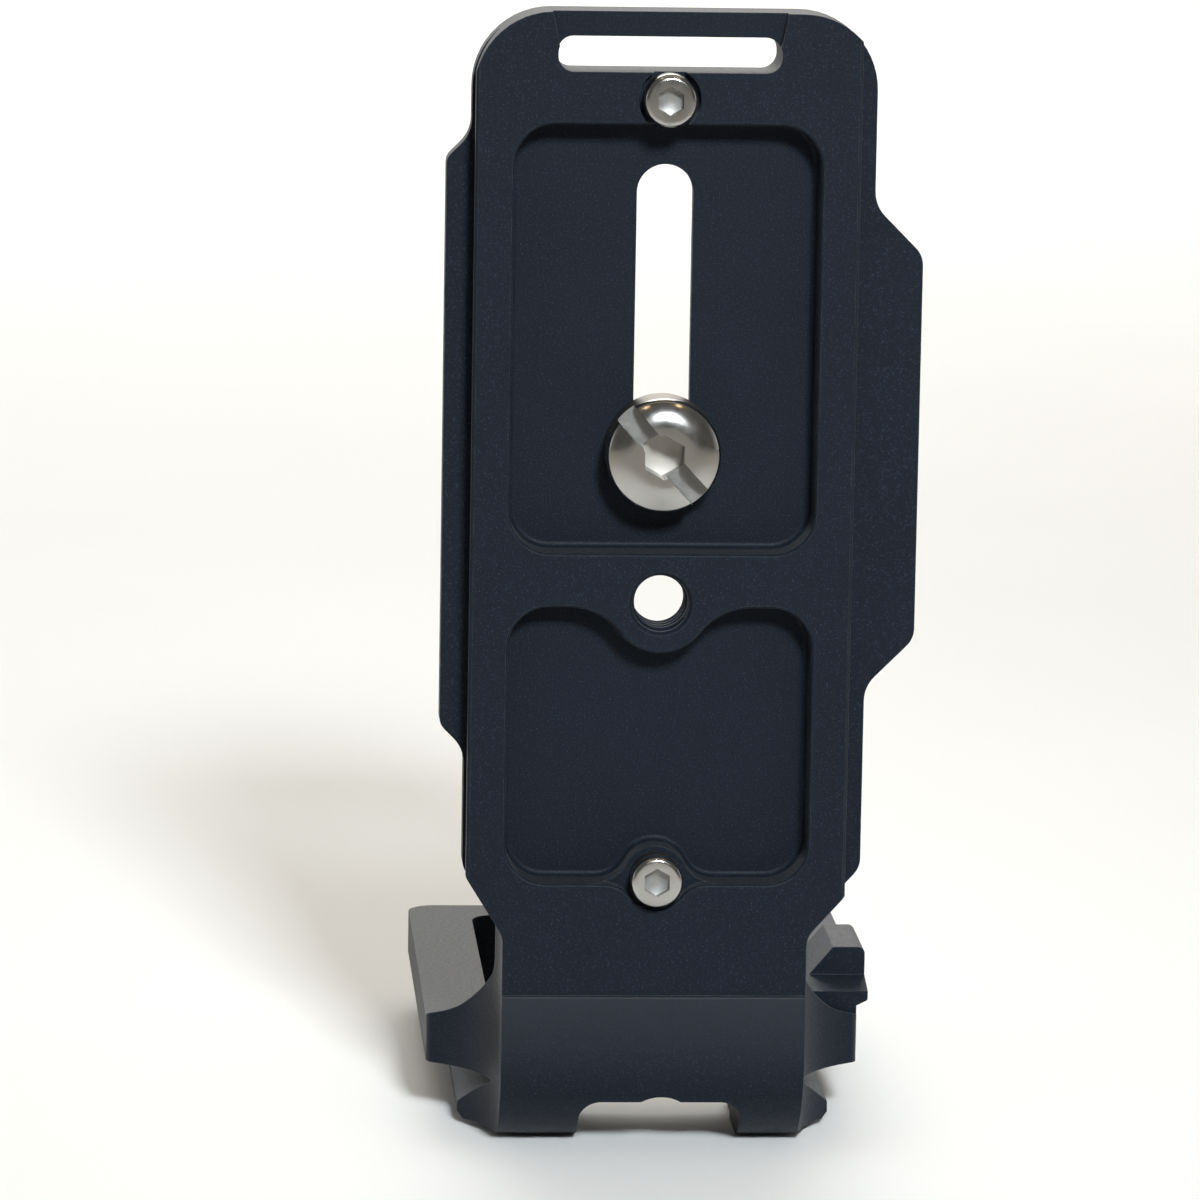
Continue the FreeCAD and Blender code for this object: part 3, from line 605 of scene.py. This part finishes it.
def stainless(name, roughness, dull, worn, painted_depth_tone, start, metal=1.0):
    """Turned steel with tool marks and scuffs, matt from a depth behind the camera screw's crown on,
    where it takes a painted tone: painted shade on the sides of the heads, a painted highlight at the
    bottom of the camera screw's socket, and the plain dull colour on the ring.
    """
    made, tree, shader, place = material(name)
    marks = noise(tree, place, MARK_SCALE, 3)
    scuffs = noise(tree, place, SCUFF_SCALE, 5, 0.65)
    along = split(tree, place)["Y"]
    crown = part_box("camera_screw")[0][1]
    below = spread(tree, along, 0, 1, crown + start, crown + start + SHADE_WIDTH)
    head = spread(tree, along, 1, 0, crown + SIDE_END, crown + SIDE_END + SHADE_WIDTH)
    colour = blend(tree, spread(tree, scuffs, 0, 1), dull, worn)
    # Painted tone from a depth on: shade on the heads' sides, a highlight at the socket's bottom
    colour = blend(tree, combine(tree, "MULTIPLY", below, head), colour, painted_depth_tone)
    tree.links.new(colour, shader.inputs["Base Color"])
    polish = spread(tree, scuffs, roughness * POLISHED, roughness * SCUFFED)
    matt = spread(tree, below, 0, SIDE_ROUGHNESS, 0, 1)
    tree.links.new(combine(tree, "MAXIMUM", polish, matt), shader.inputs["Roughness"])
    tree.links.new(bump(tree, marks, MARK_DEPTH, 0.25), shader.inputs["Normal"])
    shader.inputs["Metallic"].default_value = metal
    return made


def paint(piece, finish):
    """Give a piece one material."""
    piece.data.materials.clear()
    piece.data.materials.append(finish)


def pale_floor():
    """Plain pale floor with the faintest mottling."""
    bpy.ops.mesh.primitive_plane_add(size=2 * FLOOR_HALF, location=(0, 0, 0))
    floor = bpy.context.object
    floor.name = "floor"
    made, tree, shader, place = material("floor")
    mottling = spread(tree, noise(tree, place, FLOOR_SCALE, 3), 0, 1)
    tree.links.new(blend(tree, mottling, *FLOOR_TONES), shader.inputs["Base Color"])
    shader.inputs["Roughness"].default_value = FLOOR_ROUGHNESS
    paint(floor, made)


def area_light(name, place, target, size, power, colour, spread_angle=180.0):
    """Square soft light that faces a target."""
    lamp = bpy.data.lights.new(name, "AREA")
    lamp.size = size
    lamp.spread = math.radians(spread_angle)
    lamp.energy = power
    lamp.color = colour
    holder = bpy.data.objects.new(name, lamp)
    holder.location = place
    holder.rotation_mode = "QUATERNION"
    holder.rotation_quaternion = (target - place).to_track_quat("-Z", "Y")
    bpy.context.scene.collection.objects.link(holder)


def studio_light():
    """A cool key in front, a warm light overhead, two lights over the floor behind, two ceiling lamps."""
    up = math.radians(KEY_ELEVATION)
    side = math.radians(KEY_AZIMUTH)
    towards_key = Vector((math.sin(side) * math.cos(up), -math.cos(side) * math.cos(up), math.sin(up)))
    key_place = PART_MIDDLE + towards_key * KEY_DISTANCE
    area_light("key", key_place, PART_MIDDLE, KEY_SIZE, KEY_POWER, KEY_COLOUR, KEY_SPREAD)
    area_light("overhead", TOP_PLACE, TOP_TARGET, TOP_SIZE, TOP_POWER, TOP_COLOUR)
    area_light("back", BACK_PLACE, BACK_TARGET, BACK_SIZE, BACK_POWER, BACK_COLOUR, BACK_SPREAD)
    area_light("far", FAR_PLACE, FAR_TARGET, FAR_SIZE, FAR_POWER, FAR_COLOUR, FAR_SPREAD)
    for place in LAMP_PLACES:
        area_light("ceiling_lamp", place, PART_MIDDLE, LAMP_SIZE, LAMP_POWER, LAMP_COLOUR)


def room():
    """Room round the part, dim in front and bright low down behind."""
    world = bpy.data.worlds.new("room")
    bpy.context.scene.world = world
    world.use_nodes = True
    tree = world.node_tree
    parts = split(tree, tree.nodes.new("ShaderNodeTexCoord").outputs["Generated"])
    behind = spread(tree, parts["Y"], 0, 1, -ROOM_TURN, ROOM_TURN)
    low_down = spread(tree, parts["Z"], 1, ROOM_CEILING, ROOM_LOW, ROOM_HIGH)
    bright = combine(tree, "MULTIPLY", behind, low_down)
    colour = blend(tree, bright, ROOM_DIM, ROOM_BRIGHT)
    tree.links.new(colour, tree.nodes["Background"].inputs["Color"])


def photo_camera():
    """Camera at the photograph's place and angle."""
    yaw = math.radians(CAMERA_YAW)
    pitch = math.radians(CAMERA_PITCH)
    roll = math.radians(CAMERA_ROLL)
    ahead = math.cos(pitch)
    forward = Vector((math.sin(yaw) * ahead, math.cos(yaw) * ahead, -math.sin(pitch)))
    level = Vector((math.cos(yaw), -math.sin(yaw), 0))
    upright = level.cross(forward)
    right = level * math.cos(roll) + upright * math.sin(roll)
    up = upright * math.cos(roll) - level * math.sin(roll)
    data = bpy.data.cameras.new("camera")
    data.sensor_fit = "HORIZONTAL"
    data.sensor_width = SENSOR_WIDTH
    data.lens = FOCAL_PIXELS * SENSOR_WIDTH / PHOTO_WIDTH
    data.clip_start = CLIP_START
    camera = bpy.data.objects.new("camera", data)
    turn = Matrix((right, up, -forward)).transposed().to_4x4()
    camera.matrix_world = Matrix.Translation(CAMERA_PLACE) @ turn
    bpy.context.scene.collection.objects.link(camera)
    bpy.context.scene.camera = camera


def main():
    """Finish the bracket and the ring, make the screws and the thread, and set the stage."""
    dark = anodised()
    # Steel with painted shade on the sides of the heads
    bright = stainless("stainless", SCREW_ROUGHNESS, STEEL_DULL, STEEL_WORN, SHADED_HEAD_SIDE, SIDE_START)
    # Steel painted darker as shade in the slot and sockets, with a painted highlight at the socket's
    # bottom
    shaded_recess = stainless("stainless_shaded_recess", RECESS_ROUGHNESS, SHADED_RECESS_DULL, SHADED_RECESS_WORN, SOCKET_BOTTOM_HIGHLIGHT,
                       SOCKET_START, RECESS_METAL)
    spring = stainless("spring_steel", RING_ROUGHNESS, STEEL_DULL, STEEL_WORN, STEEL_DULL, SIDE_START)
    paint(frame["nodes"]["bracket"], dark)
    paint(tripod_thread(), dark)
    camera_screw(bright, shaded_recess)
    stop_screws(bright, shaded_recess)
    paint(frame["nodes"]["screw_retaining_ring"], spring)
    pale_floor()
    studio_light()
    room()
    photo_camera()
    bpy.context.scene.view_settings.view_transform = "Standard"


main()
